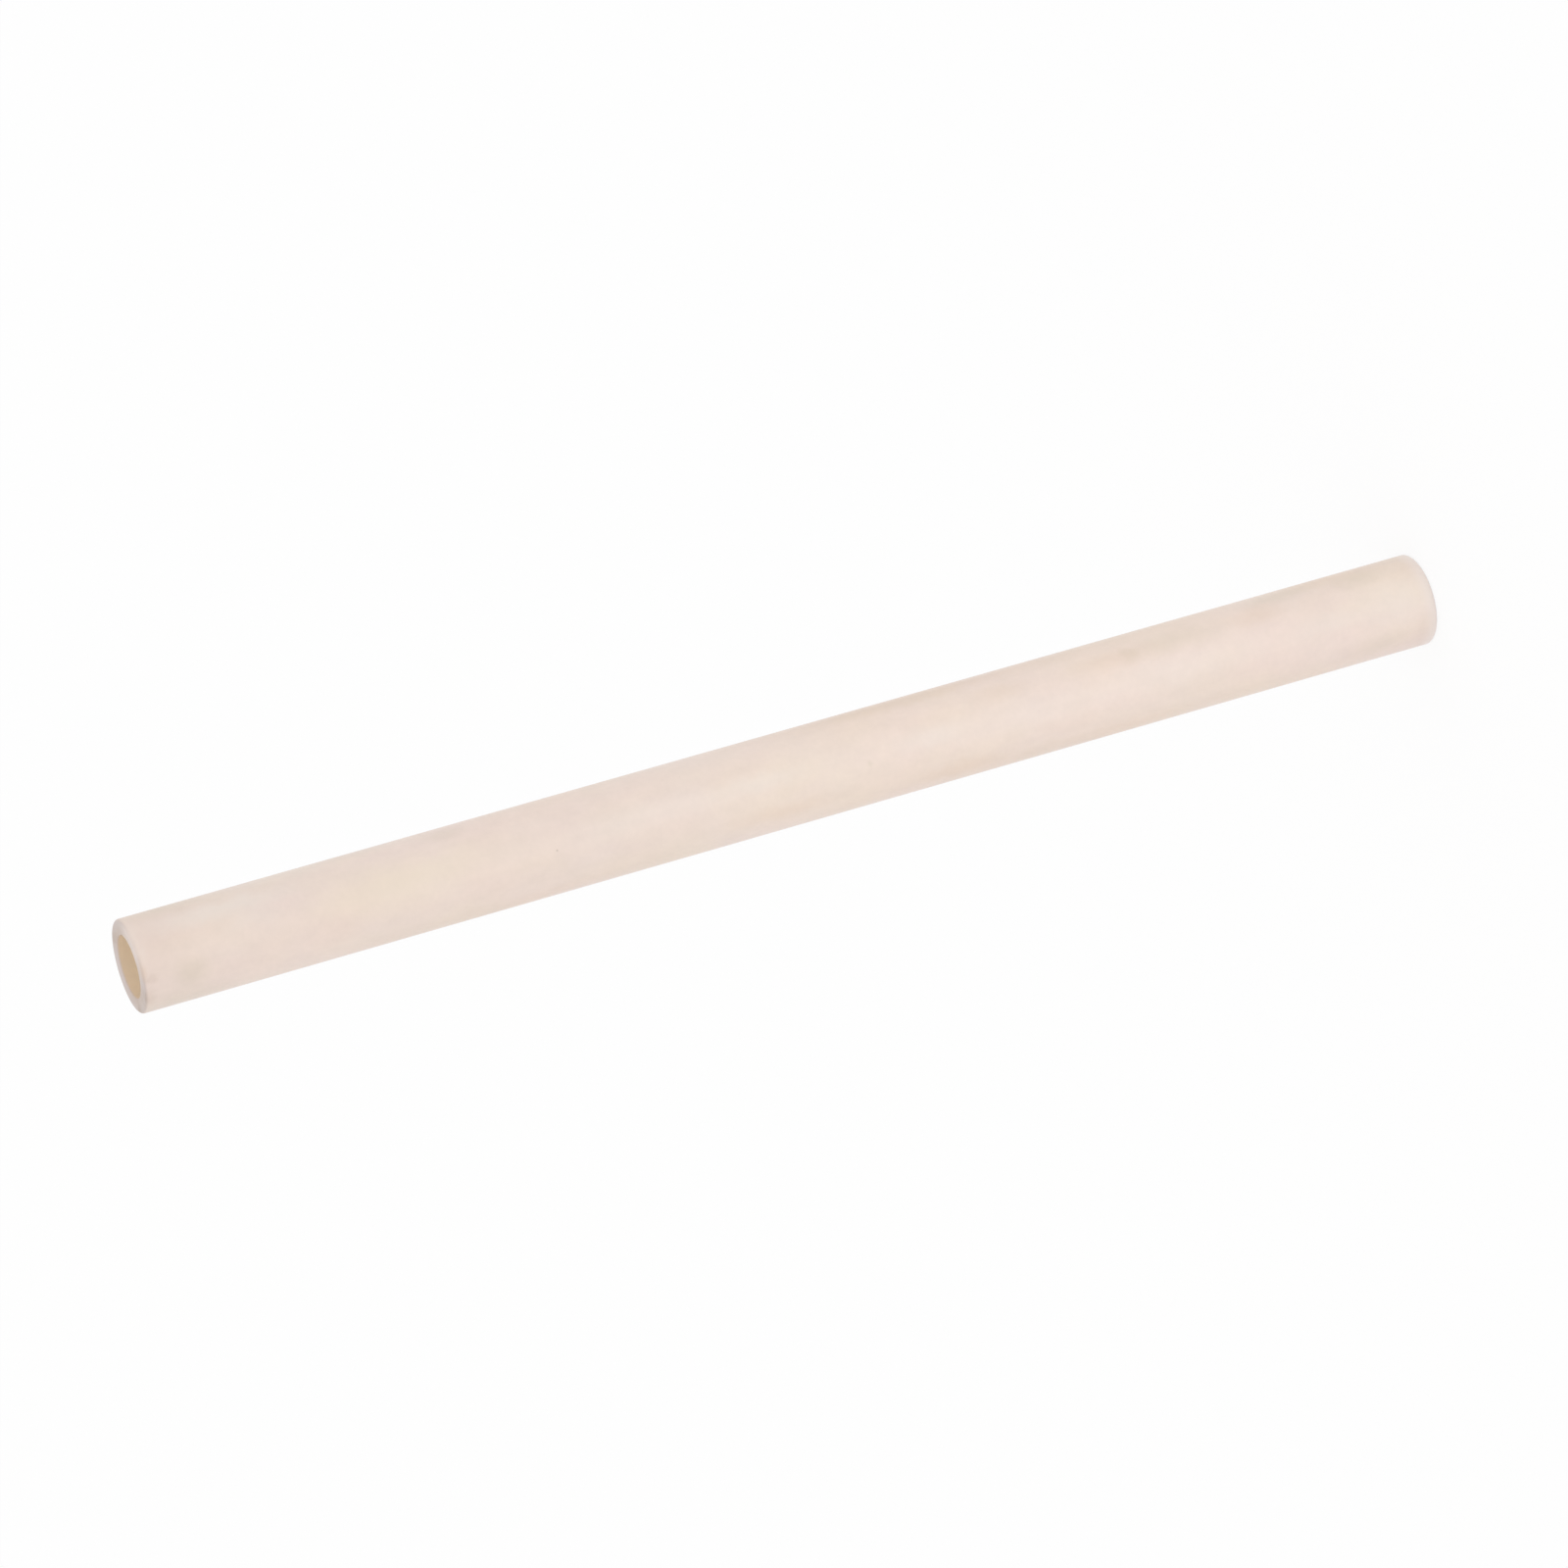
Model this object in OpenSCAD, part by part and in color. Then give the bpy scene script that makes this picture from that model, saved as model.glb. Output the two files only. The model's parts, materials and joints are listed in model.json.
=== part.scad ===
// Ceramic insulator tube: a straight fired wall with one plain bore right through it.
// A conductor or rod passes through the bore, and a hole or clip takes the tube by its outside.
// The tube stands on one of its two like ends. The origin is in the middle of that end, and Z is the axis.

/* [Tube] */
// Length over the two cut ends
tube_l = 178; // [30:1:600]
// Diameter of the bore
bore_d = 8; // [2:0.5:30]
// Thickness of the insulating wall
wall_t = 2; // [1:0.25:8]

/* [Cut ends] */
// Radius on the outer edge of each end, rubbed round before firing
rim_r = 0.4; // [0.1:0.05:0.6]
// Radius on the lip of the bore at each end
lip_r = 0.2; // [0.05:0.05:0.35]

/* [Hidden] */
$fn = 96;
bore_r = bore_d / 2;
outer_r = bore_r + wall_t;
ceramic_colour = [0.92, 0.86, 0.81];

// What rounding takes off a square corner that points at the origin
module corner_waste(r) {
    difference() {
        square(r);
        translate([r, r]) circle(r);
    }
}

// What rounding the lip and the rim of the lower end takes off the wall
module end_waste() {
    translate([bore_r, 0]) corner_waste(lip_r);
    translate([outer_r, 0]) mirror([1, 0]) corner_waste(rim_r);
}

// The wall cut along the axis: X is the distance from the axis, Y the height above the lower end
module wall_section() {
    difference() {
        translate([bore_r, 0]) square([wall_t, tube_l]);
        end_waste();
        translate([0, tube_l]) mirror([0, 1]) end_waste();
    }
}

module tube() {
    color(ceramic_colour) rotate_extrude() wall_section();
}

tube();
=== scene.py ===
"""Looks of the ceramic insulator tube: mesh, fired finish, pale floor, soft light and camera."""
import json
import math

import bmesh
import bpy
from mathutils import Matrix, Vector


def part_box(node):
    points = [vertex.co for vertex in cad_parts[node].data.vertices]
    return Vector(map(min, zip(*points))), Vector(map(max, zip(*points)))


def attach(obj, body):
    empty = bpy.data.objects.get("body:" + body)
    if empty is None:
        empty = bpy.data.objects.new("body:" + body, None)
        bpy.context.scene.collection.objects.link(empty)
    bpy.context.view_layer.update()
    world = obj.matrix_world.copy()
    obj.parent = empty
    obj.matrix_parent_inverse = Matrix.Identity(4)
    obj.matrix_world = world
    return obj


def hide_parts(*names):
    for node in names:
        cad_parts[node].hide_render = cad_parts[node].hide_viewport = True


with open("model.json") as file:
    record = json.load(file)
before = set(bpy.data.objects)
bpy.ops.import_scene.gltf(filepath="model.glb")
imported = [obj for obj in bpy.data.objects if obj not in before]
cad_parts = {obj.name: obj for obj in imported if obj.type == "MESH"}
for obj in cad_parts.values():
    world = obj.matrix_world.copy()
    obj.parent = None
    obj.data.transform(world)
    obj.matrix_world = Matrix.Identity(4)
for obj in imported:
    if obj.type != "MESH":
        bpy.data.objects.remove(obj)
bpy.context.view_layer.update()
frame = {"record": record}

# Sizes of the tube, in metres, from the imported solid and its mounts
MM = 0.001
mounts = {mount["name"]: mount["dims"] for mount in frame["record"]["mounts"]}
tube_low, tube_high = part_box("tube")
tube_l = tube_high.z - tube_low.z
bore_r = mounts["bore"]["r_mm"] * MM
outer_r = mounts["outside"]["r_mm"] * MM
rim_r = (tube_l - mounts["outside"]["length_mm"] * MM) / 2
lip_r = (tube_l - mounts["bore"]["length_mm"] * MM) / 2


# Small helpers for colours and nodes

def linear(hex_colour):
    """The linear red, green, blue and alpha of an sRGB hex colour."""
    parts = [int(hex_colour[i:i + 2], 16) / 255 for i in (1, 3, 5)]
    return [p / 12.92 if p <= 0.04045 else ((p + 0.055) / 1.055) ** 2.4 for p in parts] + [1.0]


def add_node(tree, kind, inputs=None, out=0, **settings):
    """Adds a node, sets it, fills its inputs with values or other nodes' outputs, and gives its output."""
    node = tree.nodes.new("ShaderNode" + kind)
    for name, value in settings.items():
        setattr(node, name, value)
    for name, value in (inputs or {}).items():
        if isinstance(value, bpy.types.NodeSocket):
            tree.links.new(value, node.inputs[name])
        else:
            node.inputs[name].default_value = value
    return node.outputs[out] if node.outputs else node


def new_material(name):
    """An empty node material."""
    material = bpy.data.materials.new(name)
    material.use_nodes = True
    material.node_tree.nodes.clear()
    return material


# The fired ceramic

BODY = "#E2D0C4"
SPECK = "#A08D7C"
# A greyer tone for the skin within a few mm of the upper end
GREYER_TOP_TONE = "#D6C3B8"
# Painted shade on the end faces, which turn away from the light
END_FACE_SHADE = "#C7B8B2"
# Painted shade on the end face round the lip of the bore
LIP_SHADE = "#B89F88"
# Painted light on the foot, against the shade where it meets the floor
FOOT_LIGHT = "#F0E6E2"
# Painted warm glow of light bouncing inside the bore, paler deeper in where less light reaches
BORE_GLOW = "#E9D3B7"
BORE_DEEP_GLOW = "#F9E7CD"

# Layers of unevenness in the fired body: size in mm, how far it is drawn out along the tube, and how far
# red, green and blue stray with it. The real grain and drag lines are finer, and are drawn just coarse
# enough to show.
CLOUDS = (20.0, 2.0, (0.06, 0.06, 0.05))
PINK_TO_OLIVE = (9.0, 2.0, (-0.03, 0.05, -0.02))
LILAC_TO_STRAW = (7.0, 2.0, (0.03, 0.02, -0.10))
MOTTLE = (2.2, 1.4, (0.09, 0.09, 0.09))
GRAIN = (0.7, 1.0, (0.06, 0.06, 0.06))
DRAG_LINES = (0.9, 40.0, (0.03, 0.03, 0.03))
LAYERS = (CLOUDS, PINK_TO_OLIVE, LILAC_TO_STRAW, MOTTLE, GRAIN, DRAG_LINES)

# Specks: spacing, largest width and soft edge in mm, the chance below which a place has none, and how far
# they show
SPECK_SPACING = 6.0
SPECK_MM = 0.5
SPECK_EDGE = 0.1
SPECK_CHANCE = 0.4
SPECK_SHARE = 0.4

# Tones of the ends, with the greyer upper end, painted light on the foot and painted shade round the lip:
# how far they reach in mm, and how far they show
GREYER_TOP_MM = 9.0
GREYER_TOP_SHARE = 0.25
FOOT_LIGHT_MM = 2.4
FOOT_LIGHT_SHARE = 0.6
LIP_SHADE_MM = 1.8
LIP_SHADE_SHARE = 0.5

# The painted shade round the lip lies to the two sides: how far from the middle it starts and is full, in
# mm
LIP_SHADE_STARTS = 1.5
LIP_SHADE_FULL = 4.5

# The painted shade of the end faces fades out over these parts of the rim's radius, at the upper end and at
# the foot
TOP_FADE = 0.8
FOOT_FADE = 0.1

# The painted glow of the bore comes in over this many radii of the lip, and is at its palest this many mm
# inside
MOUTH_FADE = 1.8
PALE_FROM = 2.5

# Marks on the outside and the upper rim, by colour, mostly handling marks with some painted highlight,
# light and
# shade: height above the lower end in mm, angle round the axis from the camera's side in degrees, length
# along the tube and width round it in mm, and how far the colour shows
MARKS = {
    # Grey and olive smudges
    "#C8BBA6": ((171.8, -30, 3.4, 3.3, 0.33), (135.8, 58, 4.0, 2.2, 0.25), (75.0, 66, 17.0, 2.4, 0.25),
                (42.5, 35, 2.2, 1.7, 0.30), (20.0, 60, 9.0, 2.4, 0.35), (9.0, 51, 6.0, 2.5, 0.35),
                (9.0, -46, 7.0, 2.8, 0.22), (80.5, -11, 0.8, 0.7, 0.30), (112.0, 168, 9.0, 2.5, 0.40),
                (58.0, 205, 4.0, 3.0, 0.40), (30.0, 140, 12.0, 2.0, 0.30), (36.0, 36, 9.0, 2.8, 0.28),
                (36.0, -24, 9.0, 2.2, 0.16), (172.0, 72, 9.0, 3.2, 0.30), (172.0, -70, 9.0, 3.2, 0.30)),
    # Warm stains, and long warm bands at about 70 degrees to either side, down the sides seen edge-on,
    # which are painted shade
    "#D6BCA4": ((44.5, 33, 9.0, 2.6, 0.25), (24.0, 37, 6.0, 2.4, 0.25), (92.0, -40, 11.0, 1.8, 0.25),
                (61.0, 33, 6.0, 2.2, 0.20), (69.0, -52, 10.0, 2.2, 0.30), (120.0, 230, 13.0, 2.6, 0.30),
                (64.0, 70, 46.0, 3.0, 0.35), (50.0, -68, 46.0, 3.0, 0.25), (130.0, -70, 32.0, 2.6, 0.20),
                (12.0, 72, 12.0, 3.0, 0.30), (178.4, -10, 1.2, 2.6, 0.70)),
    # Pale rubs; those at angles near 0, down the side facing the camera, are a painted highlight
    "#E3DBD3": ((166.0, 38, 13.0, 2.4, 0.45), (95.0, 4, 10.0, 1.8, 0.25), (4.0, 2, 10.0, 4.5, 0.30),
                (148.0, 190, 15.0, 2.4, 0.40), (46.0, -4, 42.0, 3.0, 0.16), (163.0, 16, 6.0, 1.8, 0.20),
                (108.0, 6, 13.0, 2.6, 0.18), (72.0, 3, 8.0, 2.2, 0.22), (14.0, 2, 8.0, 2.4, 0.20)),
    # A straw cloud
    "#E2D6BE": ((143.0, 8, 19.0, 5.0, 0.40),),
    # The upper rim towards the camera's side kept at the tone of the skin, without the painted shade of the
    # end faces
    "#E3D2C7": ((178.0, 38, 2.0, 4.4, 0.90), (178.0, 12, 1.6, 3.0, 0.75)),
    # Grime in the upper rim, and on its flat ring alone where the mark's middle is above the end
    "#A0866E": ((177.2, -21, 1.2, 0.9, 0.16), (177.3, -46, 0.9, 2.2, 0.14), (178.6, -54, 1.3, 3.0, 0.65),
                (178.8, -92, 1.4, 3.2, 0.85), (178.6, 130, 1.3, 3.4, 0.55)),
}

# Ragged edges of the marks: their size and how far they stray, in mm, to either side of the noise's middle
RAGGED_MM = 1.6
RAGGED_BY = 1.8
NOISE_MIDDLE = (0.5, 0.5, 0.5)

# Relief: spacing of the saw marks and depth of the relief in mm, its strength, and how high the drag lines
# and the saw marks stand beside the grain
SAW_MM = 0.35
RELIEF_MM = 0.02
RELIEF_STRENGTH = 0.25
DRAG_HEIGHT = 0.6
SAW_HEIGHT = 0.8

# Length of one wave of Blender's wave texture at a scale of 1
WAVE_LENGTH = 0.314

# The sheen follows one layer's noise: where that noise is low and high, the roughness at each, and the IOR
NOISE_LOW = 0.3
NOISE_HIGH = 0.7
SMOOTHEST = 0.38
ROUGHEST = 0.46
ALUMINA_IOR = 1.76

# A map range takes a value, its start and its end as inputs 0, 1 and 2, and gives from input 3 to input 4.
# With these settings it eases in and out.
SOFT = {"interpolation_type": "SMOOTHSTEP"}


def tube_places(tree):
    """Where a point lies on the tube, in mm, and whether it is on a sawn end."""
    place = add_node(tree, "TexCoord", out="Object")
    place_mm = add_node(tree, "VectorMath", {0: place, "Scale": 1 / MM}, operation="SCALE")
    axes = add_node(tree, "SeparateXYZ", {0: place_mm}).node.outputs
    height = axes["Z"]
    below_top = add_node(tree, "Math", {0: tube_l / MM, 1: height}, operation="SUBTRACT")
    across = add_node(tree, "VectorMath", {0: place_mm, 1: (1, 1, 0)}, operation="MULTIPLY")
    on_top = add_node(tree, "MapRange", {0: below_top, 1: TOP_FADE * rim_r / MM, 2: 0.0}, **SOFT)
    on_foot = add_node(tree, "MapRange", {0: height, 1: FOOT_FADE * rim_r / MM, 2: 0.0}, **SOFT)
    return {
        "place": place_mm,
        "height": height,
        "below_top": below_top,
        "from_end": add_node(tree, "Math", {0: height, 1: below_top}, operation="MINIMUM"),
        "radius": add_node(tree, "VectorMath", {0: across}, out="Value", operation="LENGTH"),
        "aside": add_node(tree, "Math", {0: axes["X"]}, operation="ABSOLUTE"),
        "on_cut": add_node(tree, "Math", {0: on_top, 1: on_foot}, operation="ADD"),
    }


def uneven_body(tree, at):
    """The colour of the fired body with its layers of unevenness, and each layer's noise."""
    colour = linear(BODY)[:3]
    noises = {}
    for layer in LAYERS:
        size, drawn_out, stray = layer
        per_mm = (1 / size, 1 / size, 1 / size / drawn_out)
        drawn = add_node(tree, "VectorMath", {0: at["place"], 1: per_mm}, operation="MULTIPLY")
        noise = add_node(tree, "TexNoise", {"Vector": drawn, "Scale": 1.0, "Detail": 2.0})
        start = tuple(1 - share / 2 for share in stray)
        tint = add_node(tree, "VectorMath", {0: noise, 1: stray, 2: start}, operation="MULTIPLY_ADD")
        colour = add_node(tree, "VectorMath", {0: tint, 1: colour}, operation="MULTIPLY")
        noises[layer] = noise
    return colour, noises


def speck_coats(tree, at):
    """A few dark specks that were fired in."""
    cells = add_node(tree, "TexVoronoi", {"Vector": at["place"], "Scale": 1 / SPECK_SPACING}).node.outputs
    chance = add_node(tree, "SeparateColor", {0: cells["Color"]})
    largest = SPECK_MM / SPECK_SPACING / 2
    size = add_node(tree, "MapRange", {0: chance, 1: SPECK_CHANCE, 2: 1.0, 4: largest})
    inside = add_node(tree, "Math", {0: size, 1: cells["Distance"]}, operation="SUBTRACT")
    edge = SPECK_EDGE / SPECK_SPACING
    specks = add_node(tree, "MapRange", {0: inside, 1: 0.0, 2: edge, 4: SPECK_SHARE}, **SOFT)
    return [(specks, SPECK)]


def end_coats(tree, at):
    """The greyer skin near the upper end, painted light on the foot, and painted shade on the end faces and
    round the lip.
    """
    near_top = {0: at["below_top"], 1: GREYER_TOP_MM, 2: 0.0, 4: GREYER_TOP_SHARE}
    greyer_top = add_node(tree, "MapRange", near_top, **SOFT)
    # Painted light on the foot
    foot_lit = add_node(tree, "MapRange", {0: at["height"], 1: FOOT_LIGHT_MM, 2: 0.0, 4: FOOT_LIGHT_SHARE}, **SOFT)
    # Painted shade round the lip, to the two sides
    lip_shade_r = bore_r / MM + LIP_SHADE_MM
    by_lip = add_node(tree, "MapRange", {0: at["radius"], 1: lip_shade_r, 2: (bore_r + lip_r) / MM}, **SOFT)
    sides = {0: at["aside"], 1: LIP_SHADE_STARTS, 2: LIP_SHADE_FULL, 4: LIP_SHADE_SHARE}
    to_sides = add_node(tree, "MapRange", sides, **SOFT)
    lip_shaded = add_node(tree, "Math", {0: by_lip, 1: at["on_cut"]}, operation="MULTIPLY")
    lip_shaded = add_node(tree, "Math", {0: lip_shaded, 1: to_sides}, operation="MULTIPLY")
    return [(greyer_top, GREYER_TOP_TONE), (foot_lit, FOOT_LIGHT), (at["on_cut"], END_FACE_SHADE), (lip_shaded, LIP_SHADE)]


def mark_coats(tree, at):
    """Marks with ragged edges: handling marks, with painted highlight, light and shade among them."""
    ragged = {"Vector": at["place"], "Scale": 1 / RAGGED_MM, "Detail": 2.0}
    shift = add_node(tree, "TexNoise", ragged, out="Color")
    shift = add_node(tree, "VectorMath", {0: shift, 1: NOISE_MIDDLE}, operation="SUBTRACT")
    shift = add_node(tree, "VectorMath", {0: shift, "Scale": RAGGED_BY}, operation="SCALE")
    moved = add_node(tree, "VectorMath", {0: at["place"], 1: shift}, operation="ADD")
    coats = []
    for tone, marks in MARKS.items():
        for up, turn, long, wide, depth in marks:
            side = math.radians(turn)
            middle = (outer_r / MM * math.sin(side), -outer_r / MM * math.cos(side), up)
            per_mm = (1 / wide, 1 / wide, 1 / long)
            away = add_node(tree, "VectorMath", {0: moved, 1: middle}, operation="SUBTRACT")
            away = add_node(tree, "VectorMath", {0: away, 1: per_mm}, operation="MULTIPLY")
            away = add_node(tree, "VectorMath", {0: away}, out="Value", operation="LENGTH")
            shown = add_node(tree, "MapRange", {0: away, 1: 1.0, 2: 0.0, 4: depth}, **SOFT)
            coats.append((shown, tone))
    return coats


def bore_coats(tree, at):
    """A painted warm glow of light bouncing in the bore, from just inside its lip, paler further in."""
    lip_edge = (bore_r + lip_r) / MM
    in_bore = add_node(tree, "MapRange", {0: at["radius"], 1: lip_edge, 2: bore_r / MM}, **SOFT)
    past_lip = add_node(tree, "MapRange", {0: at["from_end"], 1: 0.0, 2: MOUTH_FADE * lip_r / MM}, **SOFT)
    in_bore = add_node(tree, "Math", {0: in_bore, 1: past_lip}, operation="MULTIPLY")
    deeper = add_node(tree, "MapRange", {0: at["from_end"], 1: 0.0, 2: PALE_FROM}, **SOFT)
    deep_in = add_node(tree, "Math", {0: in_bore, 1: deeper}, operation="MULTIPLY")
    return [(in_bore, BORE_GLOW), (deep_in, BORE_DEEP_GLOW)]


def fine_relief(tree, at, noises):
    """The fired grain, the drag lines, and saw marks across the ends."""
    lines = {0: noises[DRAG_LINES], 1: DRAG_HEIGHT, 2: noises[GRAIN]}
    relief = add_node(tree, "Math", lines, operation="MULTIPLY_ADD")
    waves = {"Vector": at["place"], "Scale": WAVE_LENGTH / SAW_MM, "Distortion": 1.5, "Detail": 1.0}
    saw = add_node(tree, "TexWave", waves, out=1)
    saw = add_node(tree, "Math", {0: saw, 1: at["on_cut"]}, operation="MULTIPLY")
    relief = add_node(tree, "Math", {0: saw, 1: SAW_HEIGHT, 2: relief}, operation="MULTIPLY_ADD")
    depth = RELIEF_MM * MM
    return add_node(tree, "Bump", {"Strength": RELIEF_STRENGTH, "Distance": depth, "Height": relief})


def fired_alumina():
    """Unglazed sintered alumina, extruded, sawn and fired: a dry pinkish cream skin with a soft sheen,
    faint clouds and drag lines along the tube, a few handling marks, a painted highlight down the middle,
    greyer skin near the upper end, painted shade on the end faces and round the lip, painted light on the
    foot and a painted warm glow in the bore."""
    material = new_material("unglazed_fired_alumina")
    tree = material.node_tree
    at = tube_places(tree)
    colour, noises = uneven_body(tree, at)
    coats = speck_coats(tree, at) + end_coats(tree, at) + mark_coats(tree, at) + bore_coats(tree, at)
    for share, tone in coats:
        colour = add_node(tree, "Mix", {0: share, 6: colour, 7: linear(tone)}, out=2, data_type="RGBA")
    sheen = {0: noises[LILAC_TO_STRAW], 1: NOISE_LOW, 2: NOISE_HIGH, 3: SMOOTHEST, 4: ROUGHEST}
    skin = add_node(tree, "BsdfPrincipled", {
        "Base Color": colour,
        "Roughness": add_node(tree, "MapRange", sheen),
        "Normal": fine_relief(tree, at, noises),
        "IOR": ALUMINA_IOR,
    })
    add_node(tree, "OutputMaterial", {"Surface": skin})
    return material


# The tube

RIM_SEGMENTS = 8
LIP_SEGMENTS = 5
SPIN_STEPS = 192
LENGTH_CUTS = 40
WELD = 0.001 * MM


def make_tube(material):
    """The wall's section with its rounded corners, spun round the axis."""
    bm = bmesh.new()
    corners = [
        bm.verts.new((bore_r, 0, tube_low.z)),
        bm.verts.new((outer_r, 0, tube_low.z)),
        bm.verts.new((outer_r, 0, tube_high.z)),
        bm.verts.new((bore_r, 0, tube_high.z)),
    ]
    bm.faces.new(corners)
    rounds = ((corners[1:3], rim_r, RIM_SEGMENTS), ([corners[0], corners[3]], lip_r, LIP_SEGMENTS))
    for rounded, radius, segments in rounds:
        bmesh.ops.bevel(bm, geom=rounded, offset=radius, affect="VERTICES", segments=segments, profile=0.5,
                        material=-1)
    long_edges = [edge for edge in bm.edges if edge.calc_length() > tube_l / 2]
    bmesh.ops.delete(bm, geom=bm.faces[:], context="FACES_ONLY")
    bmesh.ops.subdivide_edges(bm, edges=long_edges, cuts=LENGTH_CUTS)
    bmesh.ops.spin(bm, geom=bm.verts[:] + bm.edges[:], cent=(0, 0, 0), axis=(0, 0, 1), angle=math.tau,
                   steps=SPIN_STEPS, use_merge=True)
    bmesh.ops.remove_doubles(bm, verts=bm.verts[:], dist=WELD)
    bmesh.ops.recalc_face_normals(bm, faces=bm.faces[:])
    for face in bm.faces:
        face.smooth = True
    mesh = bpy.data.meshes.new("tube_skin")
    bm.to_mesh(mesh)
    bm.free()
    mesh.materials.append(material)
    tube = bpy.data.objects.new("tube_skin", mesh)
    bpy.context.scene.collection.objects.link(tube)
    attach(tube, "root")
    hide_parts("tube")


# The floor, the light and the camera

WHITE = "#FFFFFF"
FLOOR_R = 6.0
FLOOR_GAP = 0.02 * MM
FLOOR_SEGMENTS = 64

# How far the floor is plain white to the eye, which leaves the rest to the tube's shadow
FLOOR_LIFT = 0.8

FRONT_LIGHT = 1.05
BACK_LIGHT = 0.87


def seen_by_eye(tree):
    """1 for what the camera sees, straight or by way of a shiny or clear surface, and 0 for other light."""
    ray = tree.nodes.new("ShaderNodeLightPath").outputs
    seen = add_node(tree, "Math", {0: ray["Is Camera Ray"], 1: ray["Is Glossy Ray"]}, operation="MAXIMUM")
    return add_node(tree, "Math", {0: seen, 1: ray["Is Transmission Ray"]}, operation="MAXIMUM")


def white_table():
    """A plain white table top, matt, that keeps a faint shadow."""
    material = new_material("white_table")
    tree = material.node_tree
    lift = add_node(tree, "Math", {0: seen_by_eye(tree), 1: FLOOR_LIFT}, operation="MULTIPLY")
    table = add_node(tree, "BsdfDiffuse", {"Color": linear(WHITE)})
    white = add_node(tree, "Emission", {"Color": linear(WHITE), "Strength": 1.0})
    both = add_node(tree, "MixShader", {0: lift, 1: table, 2: white})
    add_node(tree, "OutputMaterial", {"Surface": both})
    return material


def make_floor(material):
    """A round floor just under the foot of the tube."""
    bm = bmesh.new()
    bmesh.ops.create_circle(bm, cap_ends=True, radius=FLOOR_R, segments=FLOOR_SEGMENTS)
    bmesh.ops.translate(bm, verts=bm.verts[:], vec=(0, 0, tube_low.z - FLOOR_GAP))
    mesh = bpy.data.meshes.new("floor")
    bm.to_mesh(mesh)
    bm.free()
    mesh.materials.append(material)
    floor = bpy.data.objects.new("floor", mesh)
    bpy.context.scene.collection.objects.link(floor)


def make_world():
    """Soft white light from all round, a little stronger from the front, which the camera sees as white."""
    world = bpy.data.worlds.new("studio")
    world.use_nodes = True
    tree = world.node_tree
    tree.nodes.clear()
    way = add_node(tree, "TexCoord", out="Generated")
    depth = add_node(tree, "SeparateXYZ", {0: way}, out="Y")
    level = add_node(tree, "MapRange", {0: depth, 1: -1.0, 2: 1.0, 3: FRONT_LIGHT, 4: BACK_LIGHT})
    strength = add_node(tree, "Mix", {0: seen_by_eye(tree), 2: level, 3: 1.0})
    light = add_node(tree, "Background", {"Color": linear(WHITE), "Strength": strength})
    add_node(tree, "OutputWorld", {"Surface": light})
    bpy.context.scene.world = world


def add_panel(name, place, aim, size, watts):
    """A soft light panel of a width and a height that faces a place."""
    lamp = bpy.data.lights.new(name, "AREA")
    lamp.shape = "RECTANGLE"
    lamp.size, lamp.size_y = size
    lamp.energy = watts
    panel = bpy.data.objects.new(name, lamp)
    panel.location = place
    panel.rotation_euler = (Vector(aim) - Vector(place)).to_track_quat("-Z", "Y").to_euler()
    panel.visible_camera = False
    bpy.context.scene.collection.objects.link(panel)


# The photograph shows the tube on its side, its upper end near the camera, so the camera is rolled over.
CAMERA_ELEVATION = math.radians(18.832)
CAMERA_ROLL = math.radians(-105.960)
CAMERA_DISTANCE = 0.92075
CAMERA_ASIDE = Vector((-0.00103, -0.00085, 0))
CAMERA_LENS = 167.89
CAMERA_SENSOR = 36.0


def make_camera():
    """The camera at the photograph's viewing angle."""
    data = bpy.data.cameras.new("photo_camera")
    data.lens = CAMERA_LENS
    data.sensor_width = CAMERA_SENSOR
    camera = bpy.data.objects.new("photo_camera", data)
    turn = Matrix.Rotation(math.pi / 2 - CAMERA_ELEVATION, 4, "X") @ Matrix.Rotation(CAMERA_ROLL, 4, "Z")
    middle = (tube_low + tube_high) / 2
    place = middle + turn @ (CAMERA_ASIDE + Vector((0, 0, CAMERA_DISTANCE)))
    camera.matrix_world = Matrix.Translation(place) @ turn
    bpy.context.scene.collection.objects.link(camera)
    bpy.context.scene.camera = camera


make_tube(fired_alumina())
make_floor(white_table())
make_world()

# Two panels lie in front of the tube and face up: one on the table, and a faint one close to the foot
add_panel("table_panel", place=(0, -0.22, 0.002), aim=(0, -0.22, 1), size=(0.22, 0.36), watts=0.115)
add_panel("foot_panel", place=(0, -0.017, 0.0003), aim=(0, -0.017, 1), size=(0.06, 0.02), watts=0.0010)
make_camera()
bpy.context.scene.view_settings.view_transform = "Standard"
